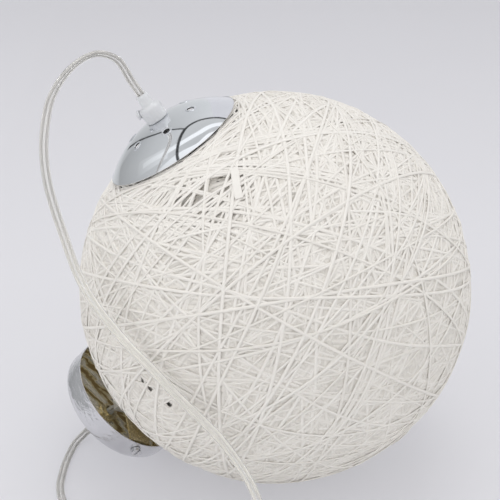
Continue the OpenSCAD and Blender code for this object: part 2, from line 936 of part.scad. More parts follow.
string_globe();
globe_cap();
cap_grip();
cap_clamp_screw();
cap_tube();
cap_nut();
carrier_bar();
carrier_nut();
holder_cap();
holder_skirt();
holder_insert();
screw_shell();
centre_contact();
holder_terminals();
holder_terminal_screws();
holder_leads();
cap_cord();
bulb_glass();
bulb_base();
bulb_insulator();
bulb_button();
canopy_shell();
canopy_grip();
canopy_clamp_screw();
canopy_tube();
canopy_nut();
ceiling_bracket();
side_screw_front();
side_screw_back();
terminal_block();
terminal_screws();
canopy_leads();
canopy_cord();
cord_loop();
cord_coil();
cord_tail();
coil_tie();
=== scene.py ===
# Looks of the string globe pendant light, in metres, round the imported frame
import math

import bpy
import numpy as np
from mathutils import Matrix, Vector


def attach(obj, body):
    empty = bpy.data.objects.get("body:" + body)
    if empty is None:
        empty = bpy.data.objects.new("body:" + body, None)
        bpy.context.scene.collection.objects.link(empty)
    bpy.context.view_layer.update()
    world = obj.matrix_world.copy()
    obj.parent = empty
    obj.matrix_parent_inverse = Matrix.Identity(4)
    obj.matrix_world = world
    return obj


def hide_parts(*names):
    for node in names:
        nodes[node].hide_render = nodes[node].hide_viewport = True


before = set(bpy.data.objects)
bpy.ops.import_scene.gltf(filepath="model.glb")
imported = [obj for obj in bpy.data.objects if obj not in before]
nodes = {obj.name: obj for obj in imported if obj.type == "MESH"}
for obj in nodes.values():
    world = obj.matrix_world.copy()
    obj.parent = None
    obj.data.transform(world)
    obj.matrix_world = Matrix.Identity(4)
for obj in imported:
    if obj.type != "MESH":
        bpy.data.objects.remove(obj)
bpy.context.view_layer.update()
mm = 0.001
print("frame loaded:", len(nodes), "nodes")

# where the two tilted assemblies stand, as the CAD has them
globe = {"radius": 140 * mm, "rest": 0.5 * mm}
lamp = {"lean": 32.5, "toward": 172.5}
canopyPlace = {"lean": 42, "toward": -7, "gap": 0.4 * mm, "slip": 17 * mm, "shift": 14.5 * mm}


def tiltedFrame(place, at):
    turn = Matrix.Rotation(math.radians(place["toward"]), 4, "Z")
    lean = Matrix.Rotation(math.radians(place["lean"]), 4, "Y")
    return Matrix.Translation(at) @ (turn @ lean)


globeCentre = Vector((0, 0, globe["radius"] - globe["rest"]))
lampFrame = tiltedFrame(lamp, globeCentre)
canopyTurn = tiltedFrame(canopyPlace, (0, 0, 0))
canopyReach = Vector((canopyPlace["slip"], canopyPlace["shift"],
                      globe["radius"] + canopyPlace["gap"]))
canopyFrame = Matrix.Translation(globeCentre - canopyTurn @ canopyReach) @ canopyTurn


# camera at the photograph's angle
viewPoint = {"place": (-17.6 * mm, -766.3 * mm, 612.2 * mm), "tip": 60,
             "lens": 90.3, "sensor": 36}

cameraData = bpy.data.cameras.new("photoCamera")
cameraData.lens = viewPoint["lens"]
cameraData.sensor_width = viewPoint["sensor"]
camera = bpy.data.objects.new("photoCamera", cameraData)
camera.location = viewPoint["place"]
camera.rotation_euler = (math.radians(viewPoint["tip"]), 0, 0)
bpy.context.scene.collection.objects.link(camera)
bpy.context.scene.camera = camera
bpy.context.scene.view_settings.view_transform = "Standard"
print("camera placed")


# mesh helpers
def addPiece(name, verts, faces, material=None):
    mesh = bpy.data.meshes.new(name)
    mesh.from_pydata([tuple(v) for v in verts], [], faces)
    mesh.validate()
    mesh.update()
    mesh.polygons.foreach_set("use_smooth", [True] * len(mesh.polygons))
    piece = bpy.data.objects.new(name, mesh)
    bpy.context.scene.collection.objects.link(piece)
    if material:
        mesh.materials.append(material)
    return piece


def sharpen(piece, angle=35):
    piece.data.set_sharp_from_angle(angle=math.radians(angle))


def ringFaces(rows, columns, closed):
    faces = []
    for i in range(rows if closed else rows - 1):
        for j in range(columns):
            a, b = i * columns + j, i * columns + (j + 1) % columns
            c, d = (i + 1) % rows * columns + (j + 1) % columns, (i + 1) % rows * columns + j
            faces.append((a, b, c, d))
    return faces


def gridFaces(rows, columns):
    wide = columns + 1
    return [(j * wide + i, j * wide + i + 1, (j + 1) * wide + i + 1, (j + 1) * wide + i)
            for j in range(rows) for i in range(columns)]


def turnedPiece(name, outline, place, material, columns, closed=True):
    turns = [2 * math.pi * j / columns for j in range(columns)]
    verts = [place @ Vector((r * math.cos(a), r * math.sin(a), z))
             for r, z in outline for a in turns]
    return addPiece(name, verts, ringFaces(len(outline), columns, closed), material)


def smoothRoute(points, steps):
    path = []
    last = len(points) - 1
    for i in range(last):
        a, b = points[max(i - 1, 0)], points[i]
        c, d = points[i + 1], points[min(i + 2, last)]
        for k in range(steps):
            u = k / steps
            path.append(b + (c - a) * u / 2 + (2 * a - 5 * b + 4 * c - d) * u ** 2 / 2
                        + (3 * b - a - 3 * c + d) * u ** 3 / 2)
    path.append(points[last])
    return path


def headings(path):
    last = len(path) - 1
    return [(path[min(i + 1, last)] - path[max(i - 1, 0)]).normalized() for i in range(len(path))]


def sweptPiece(name, path, broads, outline, material):
    sides = len(outline)
    verts = []
    for at, ahead, broad in zip(path, headings(path), broads):
        wide = (broad - broad.dot(ahead) * ahead).normalized()
        thick = ahead.cross(wide)
        verts += [at + wide * x + thick * y for x, y in outline]
    faces = ringFaces(len(path), sides, closed=False)
    end = (len(path) - 1) * sides
    faces += [tuple(reversed(range(sides))), tuple(range(end, end + sides))]
    return addPiece(name, verts, faces, material)


# material helpers
def newMaterial(name, colour, rough, metal=0.0):
    material = bpy.data.materials.new(name)
    material.use_nodes = True
    shader = material.node_tree.nodes["Principled BSDF"]
    shader.inputs["Base Color"].default_value = (*colour, 1)
    shader.inputs["Roughness"].default_value = rough
    shader.inputs["Metallic"].default_value = metal
    return material, material.node_tree, shader


def addNode(tree, kind, **values):
    node = tree.nodes.new(kind)
    for key, value in values.items():
        if key in node.inputs:
            node.inputs[key].default_value = value
        else:
            setattr(node, key, value)
    return node


def noiseOf(tree, scale, detail=3.0):
    place = addNode(tree, "ShaderNodeTexCoord")
    noise = addNode(tree, "ShaderNodeTexNoise", Scale=scale, Detail=detail)
    tree.links.new(place.outputs["Object"], noise.inputs["Vector"])
    return noise.outputs["Fac"]


def rampTo(tree, value, stops, socket):
    ramp = tree.nodes.new("ShaderNodeValToRGB")
    points = ramp.color_ramp.elements
    while len(points) < len(stops):
        points.new(0.5)
    for point, (at, colour) in zip(points, stops):
        point.position = at
        point.color = (*colour, 1)
    tree.links.new(value, ramp.inputs["Fac"])
    tree.links.new(ramp.outputs["Color"], socket)
    return ramp.outputs["Color"]


def greyStops(places, values):
    return [(at, (value,) * 3) for at, value in zip(places, values)]


def bumpFrom(tree, shader, height, strength, depth):
    bump = addNode(tree, "ShaderNodeBump", Strength=strength, Distance=depth)
    tree.links.new(height, bump.inputs["Height"])
    tree.links.new(bump.outputs["Normal"], shader.inputs["Normal"])


def mixOut(tree, first, second, share):
    mix = addNode(tree, "ShaderNodeMixShader")
    if isinstance(share, float):
        mix.inputs["Fac"].default_value = share
    else:
        tree.links.new(share, mix.inputs["Fac"])
    tree.links.new(first, mix.inputs[1])
    tree.links.new(second, mix.inputs[2])
    tree.links.new(mix.outputs["Shader"], tree.nodes["Material Output"].inputs["Surface"])


def alongAxis(tree, axis, start, end):
    place = addNode(tree, "ShaderNodeTexCoord")
    split = addNode(tree, "ShaderNodeSeparateXYZ")
    tree.links.new(place.outputs["Object"], split.inputs["Vector"])
    along = addNode(tree, "ShaderNodeMapRange")
    along.inputs["From Min"].default_value = start
    along.inputs["From Max"].default_value = end
    tree.links.new(split.outputs[axis], along.inputs["Value"])
    return along.outputs["Result"]


# glued string: a yarn twist along each strand, whiter strings over a darker ground, the ground's
# darker tone a painted shade under the raised strings
def stringFinish(look):
    material, tree, shader = newMaterial("gluedString", look["white"], look["rough"])
    shade = addNode(tree, "ShaderNodeAttribute", attribute_name="strandShade")
    tint = rampTo(tree, shade.outputs["Fac"], [(0.0, look["cream"]), (1.0, look["white"])],
                  shader.inputs["Base Color"])
    run = addNode(tree, "ShaderNodeUVMap", uv_map="strandRun")
    twist = addNode(tree, "ShaderNodeTexWave", wave_type="BANDS", bands_direction="DIAGONAL",
                    Scale=look["twists"], Distortion=look["waver"])
    tree.links.new(run.outputs["UV"], twist.inputs["Vector"])
    bumpFrom(tree, shader, twist.outputs["Fac"], look["bump"], look["depth"])
    shader.inputs["Sheen Weight"].default_value = look["sheen"]
    shader.inputs["Specular IOR Level"].default_value = look["specular"]
    through = addNode(tree, "ShaderNodeBsdfTranslucent")  # thin string lets light through
    tree.links.new(tint, through.inputs["Color"])
    mixOut(tree, shader.outputs["BSDF"], through.outputs["BSDF"], look["glow"])
    return material


gluedString = stringFinish({
    "white": (0.885, 0.857, 0.808), "cream": (0.77, 0.735, 0.676), "rough": 0.8, "sheen": 0.1,
    "specular": 0.3, "twists": 4.0, "waver": 1.5, "bump": 0.3, "depth": 0.12 * mm, "glow": 0.12,
})


# place in the canopy's own frame, drawn out along its three axes
def canopyPoint(tree, stretch):
    place = addNode(tree, "ShaderNodeTexCoord")
    turned = addNode(tree, "ShaderNodeMapping", vector_type="TEXTURE")
    turned.inputs["Location"].default_value = canopyFrame.to_translation()
    turned.inputs["Rotation"].default_value = canopyFrame.to_euler()
    turned.inputs["Scale"].default_value = [1 / s for s in stretch]
    tree.links.new(place.outputs["Object"], turned.inputs["Vector"])
    return turned.outputs["Vector"]


# chrome: a clouded tint and a fine haze, rippled where the sheet is worn
chrome = {
    "cloud": {"scale": 22.0, "detail": 4.0}, "cloudStops": (0.35, 0.62),
    "haze": {"scale": 140.0, "detail": 5.0}, "hazeStops": (0.45, 0.8),
    "wave": {"Scale": 60.0, "Detail": 4.0, "Distortion": 1.4}, "stretch": (1, 1, 2.5),
    "relief": 1.0 * mm,
}


def chromeFinish(name, tones, rough, ripple=0.0):
    material, tree, shader = newMaterial(name, tones[1], rough[0], 1.0)
    rampTo(tree, noiseOf(tree, **chrome["cloud"]), list(zip(chrome["cloudStops"], tones)),
           shader.inputs["Base Color"])
    rampTo(tree, noiseOf(tree, **chrome["haze"]), greyStops(chrome["hazeStops"], rough),
           shader.inputs["Roughness"])
    if ripple:
        wave = addNode(tree, "ShaderNodeTexNoise", **chrome["wave"])
        tree.links.new(canopyPoint(tree, chrome["stretch"]), wave.inputs["Vector"])
        bumpFrom(tree, shader, wave.outputs["Fac"], ripple, chrome["relief"])
    return material


polishedChrome = chromeFinish("polishedChrome", tones=((0.79, 0.81, 0.84), (0.85, 0.865, 0.89)),
                              rough=(0.05, 0.11))
wornChrome = chromeFinish("wornChrome", tones=((0.60, 0.60, 0.62), (0.80, 0.80, 0.82)),
                          rough=(0.12, 0.28), ripple=0.6)


# yellow passivated steel inside the canopy; its streaks are partly its own and partly a painted
# reflection of the globe, its pale stops painted light in the shaded dish
def passivatedFinish(look):
    material, tree, shader = newMaterial("goldenInside", look["stops"][-1][1], look["rough"][1],
                                         look["metal"])
    streaks = addNode(tree, "ShaderNodeTexWave", wave_type="BANDS", bands_direction="DIAGONAL",
                      **look["wave"])
    tree.links.new(canopyPoint(tree, look["stretch"]), streaks.inputs["Vector"])
    rampTo(tree, streaks.outputs["Fac"], look["stops"], shader.inputs["Base Color"])
    rampTo(tree, streaks.outputs["Fac"], greyStops(look["roughStops"], look["rough"]),
           shader.inputs["Roughness"])
    bumpFrom(tree, shader, streaks.outputs["Fac"], look["bump"], look["relief"])
    return material


# the near-white stops are painted light in the shaded dish, the streaks partly a painted
# reflection
goldenInside = passivatedFinish({
    "stops": [(0.10, (0.44, 0.33, 0.15)), (0.30, (0.86, 0.77, 0.48)),
              (0.60, (0.98, 0.92, 0.72)), (0.95, (1.0, 0.98, 0.90))],
    "rough": (0.42, 0.26), "roughStops": (0.2, 0.8), "metal": 0.5, "stretch": (0.8, 2.0, 4.0),
    "wave": {"Scale": 22.0, "Distortion": 6.0, "Detail": 3.0, "Detail Scale": 1.8,
             "Detail Roughness": 0.6},
    "bump": 0.3, "relief": 0.3 * mm,
})


def sheathFinish(look):
    material, tree, shader = newMaterial("clearSheath", look["tint"], look["rough"])
    shader.inputs["IOR"].default_value = look["ior"]
    shader.inputs["Transmission Weight"].default_value = look["clear"]
    bumpFrom(tree, shader, noiseOf(tree, **look["waves"]), look["bump"], look["depth"])
    through = addNode(tree, "ShaderNodeBsdfTransparent", Color=(*look["shade"], 1))
    rays = addNode(tree, "ShaderNodeLightPath")
    mixOut(tree, shader.outputs["BSDF"], through.outputs["BSDF"], rays.outputs["Is Shadow Ray"])
    return material


clearSheath = sheathFinish({
    "tint": (0.96, 0.95, 0.92), "rough": 0.14, "ior": 1.36, "clear": 0.74,
    "shade": (0.85, 0.85, 0.85), "waves": {"scale": 90.0, "detail": 2.0}, "bump": 0.1,
    "depth": 0.1 * mm,
})


# stranded wire in the sheath, with painted shade at both ends of the cord and a painted highlight
# between them
def wireFinish(look):
    material, tree, shader = newMaterial("strandedWire", look["bright"], look["rough"],
                                         look["metal"])
    along = addNode(tree, "ShaderNodeAttribute", attribute_name="alongCord")
    rampTo(tree, along.outputs["Fac"], [(at, look[shade]) for at, shade in look["stops"]],
           shader.inputs["Base Color"])
    bumpFrom(tree, shader, noiseOf(tree, look["strands"]), look["bump"], look["depth"])
    return material


# the along-cord stops paint shade near both ends of the cord and a highlight between them
strandedWire = wireFinish({
    "bright": (0.96, 0.93, 0.88), "pale": (0.78, 0.755, 0.71), "paintedShadeTone": (0.42, 0.41, 0.40),
    "stops": [(0.14, "paintedShadeTone"), (0.19, "pale"), (0.28, "pale"), (0.38, "bright"),
              (0.88, "bright"), (0.91, "paintedShadeTone")],
    "rough": 0.4, "metal": 0.3, "strands": 300.0, "bump": 0.3, "depth": 0.05 * mm,
})


# plain finishes: two close tones, with a finer grain in gloss and relief
speckle = {"toneStops": (0.3, 0.7), "roughStops": (0.35, 0.7), "finer": 8, "depth": 0.05 * mm}
speckled = {
    "milkyNylon": {"tones": ((0.84, 0.85, 0.87), (0.90, 0.91, 0.92)), "rough": (0.3, 0.45),
                   "metal": 0.0, "scale": 80.0, "bump": 0.1, "clear": 0.35},
    "yellowZinc": {"tones": ((0.66, 0.55, 0.31), (0.84, 0.76, 0.54)), "rough": (0.22, 0.4),
                   "metal": 0.95, "scale": 70.0, "bump": 0.08},
    "zincSteel": {"tones": ((0.55, 0.56, 0.58), (0.68, 0.69, 0.71)), "rough": (0.28, 0.5),
                  "metal": 1.0, "scale": 90.0, "bump": 0.15},
    "screwSteel": {"tones": ((0.60, 0.60, 0.61), (0.74, 0.74, 0.75)), "rough": (0.2, 0.4),
                   "metal": 1.0, "scale": 120.0, "bump": 0.1},
    "whiteMoulding": {"tones": ((0.80, 0.79, 0.76), (0.84, 0.83, 0.80)), "rough": (0.25, 0.4),
                      "metal": 0.0, "scale": 70.0, "bump": 0.03},
    "porcelainGlaze": {"tones": ((0.82, 0.81, 0.77), (0.87, 0.86, 0.83)), "rough": (0.08, 0.16),
                       "metal": 0.0, "scale": 50.0, "bump": 0.05},
    "contactBrass": {"tones": ((0.62, 0.46, 0.20), (0.80, 0.63, 0.30)), "rough": (0.2, 0.4),
                     "metal": 1.0, "scale": 100.0, "bump": 0.1},
    "opalBulb": {"tones": ((0.86, 0.86, 0.84), (0.90, 0.90, 0.88)), "rough": (0.3, 0.4),
                 "metal": 0.0, "scale": 40.0, "bump": 0.05},
    "brightBase": {"tones": ((0.62, 0.62, 0.63), (0.76, 0.76, 0.77)), "rough": (0.2, 0.35),
                   "metal": 1.0, "scale": 120.0, "bump": 0.1},
    "blackPlastic": {"tones": ((0.02, 0.02, 0.022), (0.035, 0.035, 0.04)), "rough": (0.4, 0.6),
                     "metal": 0.0, "scale": 150.0, "bump": 0.15},
    "terminalPlastic": {"tones": ((0.80, 0.80, 0.76), (0.86, 0.86, 0.82)), "rough": (0.4, 0.55),
                        "metal": 0.0, "scale": 90.0, "bump": 0.1},
}


def speckledFinish(name, look):
    material, tree, shader = newMaterial(name, look["tones"][1], look["rough"][0], look["metal"])
    shader.inputs["Transmission Weight"].default_value = look.get("clear", 0.0)
    rampTo(tree, noiseOf(tree, look["scale"]), list(zip(speckle["toneStops"], look["tones"])),
           shader.inputs["Base Color"])
    grain = noiseOf(tree, look["scale"] * speckle["finer"])
    rampTo(tree, grain, greyStops(speckle["roughStops"], look["rough"]),
           shader.inputs["Roughness"])
    bumpFrom(tree, shader, grain, look["bump"], speckle["depth"])
    return material


finishes = {name: speckledFinish(name, look) for name, look in speckled.items()}
print("materials ready")


# flat twin cord: the CAD route in metres, each point with the way its broad side runs
twinCord = {"width": 6 * mm, "lobe": 1.5 * mm, "waist": 0.95 * mm, "wire": 0.62 * mm,
            "wireSides": 8, "arcSteps": 9, "steps": 6,
            "capMouth": 169.99 * mm, "canopyMouth": -50.10 * mm,
            "leaveCap": (0, 6, 12), "enterCoil": (16, 8, 0), "leaveCoil": (0, 6, 12),
            "enterCanopy": (6, 3, 0)}  # the last four in mm from where the cord goes straight
coil = {"centre": (-78 * mm, -142 * mm), "outRadius": 36.5 * mm, "inRadius": 30 * mm,
        "layerTurns": 0.75, "crossTurn": 0.5, "low": 3.5 * mm, "rise": 6.6 * mm, "start": 90,
        "rings": 48, "lead": 6 * mm}
coilTurns = 2 * coil["layerTurns"] + coil["crossTurn"]


def onLamp(z):
    return lampFrame @ Vector((0, 0, z))


def onCanopy(z):
    return canopyFrame @ Vector((0, 0, z))


def coilRadius(s):
    inward = min(1, s / coil["layerTurns"], (coilTurns - s) / coil["layerTurns"])
    return coil["outRadius"] - (coil["outRadius"] - coil["inRadius"]) * inward


def coilPoint(s):
    u = max(0, min(1, (s - coil["layerTurns"]) / coil["crossTurn"]))
    a = math.radians(coil["start"]) + 2 * math.pi * s
    r = coilRadius(s)
    return Vector((coil["centre"][0] + r * math.cos(a), coil["centre"][1] + r * math.sin(a),
                   coil["low"] + coil["rise"] * u * u * (3 - 2 * u)))


coilTop = coil["centre"][1] + coil["outRadius"]
coilIn = Vector((coil["centre"][0] + coil["lead"], coilTop, coil["low"]))
coilOut = Vector((coil["centre"][0] - coil["lead"], coilTop, coil["low"] + coil["rise"]))
capBroad = tuple(lampFrame.to_3x3() @ Vector((1, 0, 0)))
canopyBroad = tuple(canopyFrame.to_3x3() @ Vector((1, 0, 0)))
loopHand = [
    ((-104, 9, 308), (-0.83, 0.3, -0.47)), ((-114, 1, 316), (-0.65, 0.38, -0.65)),
    ((-123, -8, 317), (-0.34, 0.45, -0.83)), ((-132, -18, 313), (0.012, 0.49, -0.87)),
    ((-140, -29, 305), (0.44, 0.45, -0.78)), ((-145, -38, 294), (0.81, 0.35, -0.48)),
    ((-147, -52, 276), (0.97, 0.2, -0.14)), ((-145, -63, 258), (0.99, 0.13, 0.11)),
    ((-141, -70, 243), (0.96, 0.12, 0.24)), ((-136, -76, 228), (0.9, 0.1, 0.2)),
    ((-127, -86, 203), (0.9, 0.2, 0.3)), ((-117, -95, 187), (0.8, 0.3, 0.5)),
    ((-106, -103, 175), (0.7, 0.3, 0.6)), ((-93, -113, 164), (0.7, 0.3, 0.6)),
    ((-80, -122, 155), (0.7, 0.3, 0.6)), ((-68, -130, 145), (0.7, 0.3, 0.6)),
    ((-55, -138, 135), (0.7, 0.3, 0.6)), ((-36, -147, 118), (0.8, 0.3, 0.5)),
    ((-21, -154, 97), (0.8, 0.3, 0.4)), ((-13, -158, 79), (0.9, 0.3, 0.3)),
    ((-8, -160, 61), (0.9, 0.4, 0.1)), ((-5, -158, 44), (0.9, 0.5, 0)),
    ((-5, -153, 29), (0.8, 0.6, 0)), ((-9, -144, 16), (0.7, 0.7, 0)),
    ((-18, -132, 7), (0.6, 0.8, 0.2)), ((-30, -119, 4), (0.4, 0.7, 0.6)),
    ((-42, -109, 3.5), (0.1, 0.3, 0.9)),
]
tailHand = [
    ((-108, -104, 8.5), (0, 0.2, 1)), ((-119, -101, 6), (0.1, 0.5, 0.9)),
    ((-130, -97, 3.8), (0.3, 0.8, 0.5)), ((-140, -90, 2.4), (0.5, 0.8, 0.2)),
    ((-148, -81, 1.8), (0.8, 0.6, 0)), ((-154, -69, 1.7), (0.9, 0.3, 0)),
    ((-157, -55, 1.7), (1, 0.1, 0)), ((-157, -41, 1.7), (1, 0, 0)),
    ((-156, -28, 1.7), (1, -0.1, 0)), ((-154, -16, 1.8), (1, -0.2, -0.1)),
    ((-151, -6, 2.6), (0.9, -0.3, -0.4)),
]


def cordRoute():
    up = (0, 0, 1)
    mouth, far = twinCord["capMouth"], twinCord["canopyMouth"]
    loop = [(onLamp(mouth + k * mm), capBroad) for k in twinCord["leaveCap"]]
    loop += [(Vector(p) * mm, b) for p, b in loopHand]
    loop += [(coilIn + Vector((k * mm, 0, 0)), up) for k in twinCord["enterCoil"]]
    tail = [(coilOut - Vector((k * mm, 0, 0)), up) for k in twinCord["leaveCoil"]]
    tail += [(Vector(p) * mm, b) for p, b in tailHand]
    tail += [(onCanopy(far - k * mm), canopyBroad) for k in twinCord["enterCanopy"]]
    path, broads = [], []
    for part in (loop, tail):
        path.append(smoothRoute([p for p, b in part], twinCord["steps"]))
        broads.append(smoothRoute([Vector(b) for p, b in part], twinCord["steps"]))
    wound = [coilPoint(k / coil["rings"]) for k in range(int(coilTurns * coil["rings"]) + 1)]
    return path[0] + wound + path[1], broads[0] + [Vector(up)] * len(wound) + broads[1]


def sheathOutline():
    lobe, steps = twinCord["lobe"], twinCord["arcSteps"]
    side = twinCord["width"] / 2 - lobe
    spread = math.pi - math.asin(twinCord["waist"] / lobe)  # each lobe runs round to the waist
    arc = [spread * (2 * k / steps - 1) for k in range(steps + 1)]
    right = [(side + lobe * math.cos(a), lobe * math.sin(a)) for a in arc]
    return right + [(-x, -y) for x, y in right]


def wireOutline(offset):
    radius, sides = twinCord["wire"], twinCord["wireSides"]
    turns = [2 * math.pi * k / sides for k in range(sides)]
    return [(offset + radius * math.cos(a), radius * math.sin(a)) for a in turns]


cordPath, cordBroads = cordRoute()
cordSteps = [(b - a).length for a, b in zip(cordPath, cordPath[1:])]
cordLength = sum(cordSteps)
cordRun = np.concatenate([[0.0], np.cumsum(cordSteps)]) / cordLength
sheath = sweptPiece("twinCordSheath", cordPath, cordBroads, sheathOutline(), clearSheath)
wireOffset = twinCord["width"] / 2 - twinCord["lobe"]
wires = [sweptPiece(name, cordPath, cordBroads, wireOutline(offset), strandedWire)
         for name, offset in (("cordWireLeft", -wireOffset), ("cordWireRight", wireOffset))]
for wire in wires:
    along = wire.data.attributes.new("alongCord", "FLOAT", "POINT")
    along.data.foreach_set("value", np.repeat(cordRun, twinCord["wireSides"]).astype(np.float32))
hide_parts("cord_loop", "cord_coil", "cord_tail")
for piece in [sheath, *wires]:
    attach(piece, "lamp")
print("cord laid:", round(cordLength, 3), "m")


# wound string: closed loops that pass the mouth by, flat ones as the glued ground and
# round ones in and over it
# the flat stock's darker tones are painted shade under the round strings; within each range a
# strand's tone is random
flatStock = {"segments": 72, "sides": 4, "thick": 0.15 * mm, "swell": 0.06 * mm, "spread": 16,
             "sink": 0.0, "settle": 0.0, "shade": (0.1, 0.45)}
roundStock = {"segments": 92, "sides": 6, "sink": 0.0, "shade": (0.55, 1.0)}
windings = [
    {**flatStock, "name": "groundWinding", "seed": 11, "pieces": 2, "strands": 240, "open": True,
     "wide": (1.6 * mm, 3.2 * mm), "low": 137.9 * mm, "high": 138.2 * mm,
     "nearest": (20.5, 90), "wander": 1.2, "sink": 0.9 * mm},
    {**flatStock, "name": "mouthGround", "seed": 31, "pieces": 1, "strands": 70, "open": True,
     "wide": (1.5 * mm, 2.5 * mm), "low": 137.3 * mm, "high": 137.7 * mm,
     "nearest": (19.8, 42), "wander": 0.5, "sink": 0.7 * mm},
    {**flatStock, "name": "backWinding", "seed": 3, "pieces": 1, "strands": 48,
     "wide": (2.0 * mm, 3.2 * mm), "low": 135.4 * mm, "high": 136.0 * mm,
     "nearest": (20.5, 40), "wander": 1.2, "behind": 20 * mm},
    {**roundStock, "name": "stringWinding", "seed": 7, "pieces": 4, "strands": 70, "open": True,
     "wide": (0.75 * mm, 1.30 * mm), "thick": 0.42 * mm, "low": 137.9 * mm, "high": 138.7 * mm,
     "swell": 0.3 * mm, "nearest": (18.5, 90), "spread": 12, "wander": 1.8, "settle": 0.55 * mm},
    {**roundStock, "name": "mouthWinding", "seed": 23, "pieces": 1, "strands": 110, "open": True,
     "wide": (0.75 * mm, 1.25 * mm), "thick": 0.45 * mm, "low": 137.9 * mm, "high": 138.8 * mm,
     "swell": 0.1 * mm, "nearest": (18.3, 27), "spread": 14, "wander": 0.3, "settle": 0.9 * mm},
    {**roundStock, "name": "topWinding", "seed": 17, "pieces": 1, "strands": 64, "open": False,
     "segments": 120, "wide": (0.85 * mm, 1.35 * mm), "thick": 0.44 * mm, "low": 138.5 * mm,
     "high": 139.1 * mm, "swell": 0.15 * mm, "nearest": (20, 90), "spread": 14, "wander": 1.7,
     "settle": 0.15 * mm},
]
strand = {"farthest": (95, 179), "waves": (2, 3, 5), "swells": 7, "between": (0, 0.25, 0.5, 0.75),
          "smoothFrom": 0.75, "smoothOver": 0.45, "table": 0.1 * mm}
# thin places where the winding stays open, by degrees from the mouth and round the lamp's axis
thinPlaces = [
    {"fromMouth": 35.8, "round": 119, "radius": 6.2 * mm},
    {"fromMouth": 36.0, "round": 106.5, "radius": 2.6 * mm},
    {"fromMouth": 78.3, "round": 63, "radius": 1.1 * mm},
    {"fromMouth": 75.7, "round": 61.3, "radius": 0.8 * mm},
    {"fromMouth": 83.5, "round": 67, "radius": 0.9 * mm},
    {"fromMouth": 66.6, "round": 51.5, "radius": 0.4 * mm},
]
thinGround = {"at": (35, 113), "edge": 17, "fade": 9}  # the ground lies deeper round the first two


def onGlobe(fromMouth, around):
    p, a = math.radians(fromMouth), math.radians(around)
    outward = Vector((math.sin(p) * math.cos(a), math.sin(p) * math.sin(a), math.cos(p)))
    return lampFrame.to_3x3() @ outward


def distanceTo(ball, place):
    onward = np.roll(ball, -1, 0)
    fine = np.concatenate([ball * (1 - u) + onward * u for u in strand["between"]])
    spot = np.array(onGlobe(place["fromMouth"], place["round"]))
    return globe["radius"] * np.linalg.norm(fine - spot, axis=1).min()


def fitsPlaces(look, ball, wide):
    if "behind" in look:
        return distanceTo(ball, thinPlaces[0]) < look["behind"]
    return not look["open"] or all(distanceTo(ball, place) > place["radius"] + wide
                                   for place in thinPlaces)


def strandLoop(rng, look):
    sines = [math.sin(math.radians(a)) for a in look["nearest"]]
    nearest = math.degrees(math.asin(rng.uniform(*sines)))
    farthest = float(np.clip(180 - nearest + rng.normal(0, look["spread"]), *strand["farthest"]))
    tilt, turn = math.radians((farthest - nearest) / 2), rng.uniform(0, 2 * math.pi)
    axis = np.array([math.sin(tilt) * math.cos(turn), math.sin(tilt) * math.sin(turn),
                     math.cos(tilt)])
    side = np.array([math.cos(tilt) * math.cos(turn), math.cos(tilt) * math.sin(turn),
                     -math.sin(tilt)])
    front = np.cross(axis, side)
    t = np.linspace(0, 2 * np.pi, look["segments"], endpoint=False)
    opening = np.full(look["segments"], (nearest + farthest) / 2)
    for waves in strand["waves"]:
        drift = rng.normal(0, look["wander"] / waves)
        opening += drift * np.sin(waves * t + rng.uniform(0, 2 * np.pi))
    opening = np.radians(opening)[:, None]
    around = np.cos(t)[:, None] * side + np.sin(t)[:, None] * front
    ball = np.sin(opening) * around + np.cos(opening) * axis
    return ball @ np.array(lampFrame.to_3x3()).T


def strandTube(rng, look, ball, wide, radius):
    ahead = np.roll(ball, -1, 0) - np.roll(ball, 1, 0)
    ahead /= np.linalg.norm(ahead, axis=1, keepdims=True)
    across = np.cross(ball, ahead)[:, None, :]
    t = np.linspace(0, 2 * np.pi, len(ball), endpoint=False)
    level = radius + look["swell"] * np.sin(strand["swells"] * t + rng.uniform(0, 2 * np.pi))
    fromThin = np.degrees(np.arccos(np.clip(ball @ np.array(onGlobe(*thinGround["at"])), -1, 1)))
    level -= look["sink"] * np.clip((thinGround["edge"] - fromThin) / thinGround["fade"], 0, 1)
    lower = (strand["smoothFrom"] - ball[:, 2]) / strand["smoothOver"]
    level -= look["settle"] * np.clip(lower, 0, 1)  # the lower half is smoother
    turn = 2 * np.pi * (np.arange(look["sides"]) + 0.5) / look["sides"]
    rings = (ball * level[:, None])[:, None, :] + np.cos(turn)[None, :, None] * wide * across
    return rings + np.sin(turn)[None, :, None] * look["thick"] * ball[:, None, :]


def windPiece(look, index, rng):
    segments, sides = look["segments"], look["sides"]
    ring, corner = np.meshgrid(np.arange(segments), np.arange(sides), indexing="ij")
    ringNext, cornerNext = (ring + 1) % segments, (corner + 1) % sides
    quad = np.stack([ring * sides + corner, ring * sides + cornerNext,
                     ringNext * sides + cornerNext, ringNext * sides + corner], -1).reshape(-1, 4)
    run = np.stack([np.stack([(corner + i) / sides, ring + j], -1)
                    for i, j in ((0, 0), (1, 0), (1, 1), (0, 1))], 2).reshape(-1, 2)
    verts, shades = [], []
    for k in range(look["strands"]):
        share = (index + k / look["strands"]) / look["pieces"]
        ball, wide = strandLoop(rng, look), rng.uniform(*look["wide"])
        while not fitsPlaces(look, ball, wide):
            ball = strandLoop(rng, look)
        radius = look["low"] + (look["high"] - look["low"]) * share
        tube = strandTube(rng, look, ball, wide, radius)
        verts.append(tube.reshape(-1, 3) + np.array(globeCentre))
        shades.append(np.full(segments * sides, rng.uniform(*look["shade"])))
    verts = np.concatenate(verts)
    verts[:, 2] = np.maximum(verts[:, 2], strand["table"])  # the winding lies flat on the table
    starts = np.arange(look["strands"])[:, None, None] * segments * sides
    quads = (quad[None] + starts).reshape(-1, 4)
    return verts, quads, np.tile(run, (look["strands"], 1)), np.concatenate(shades)


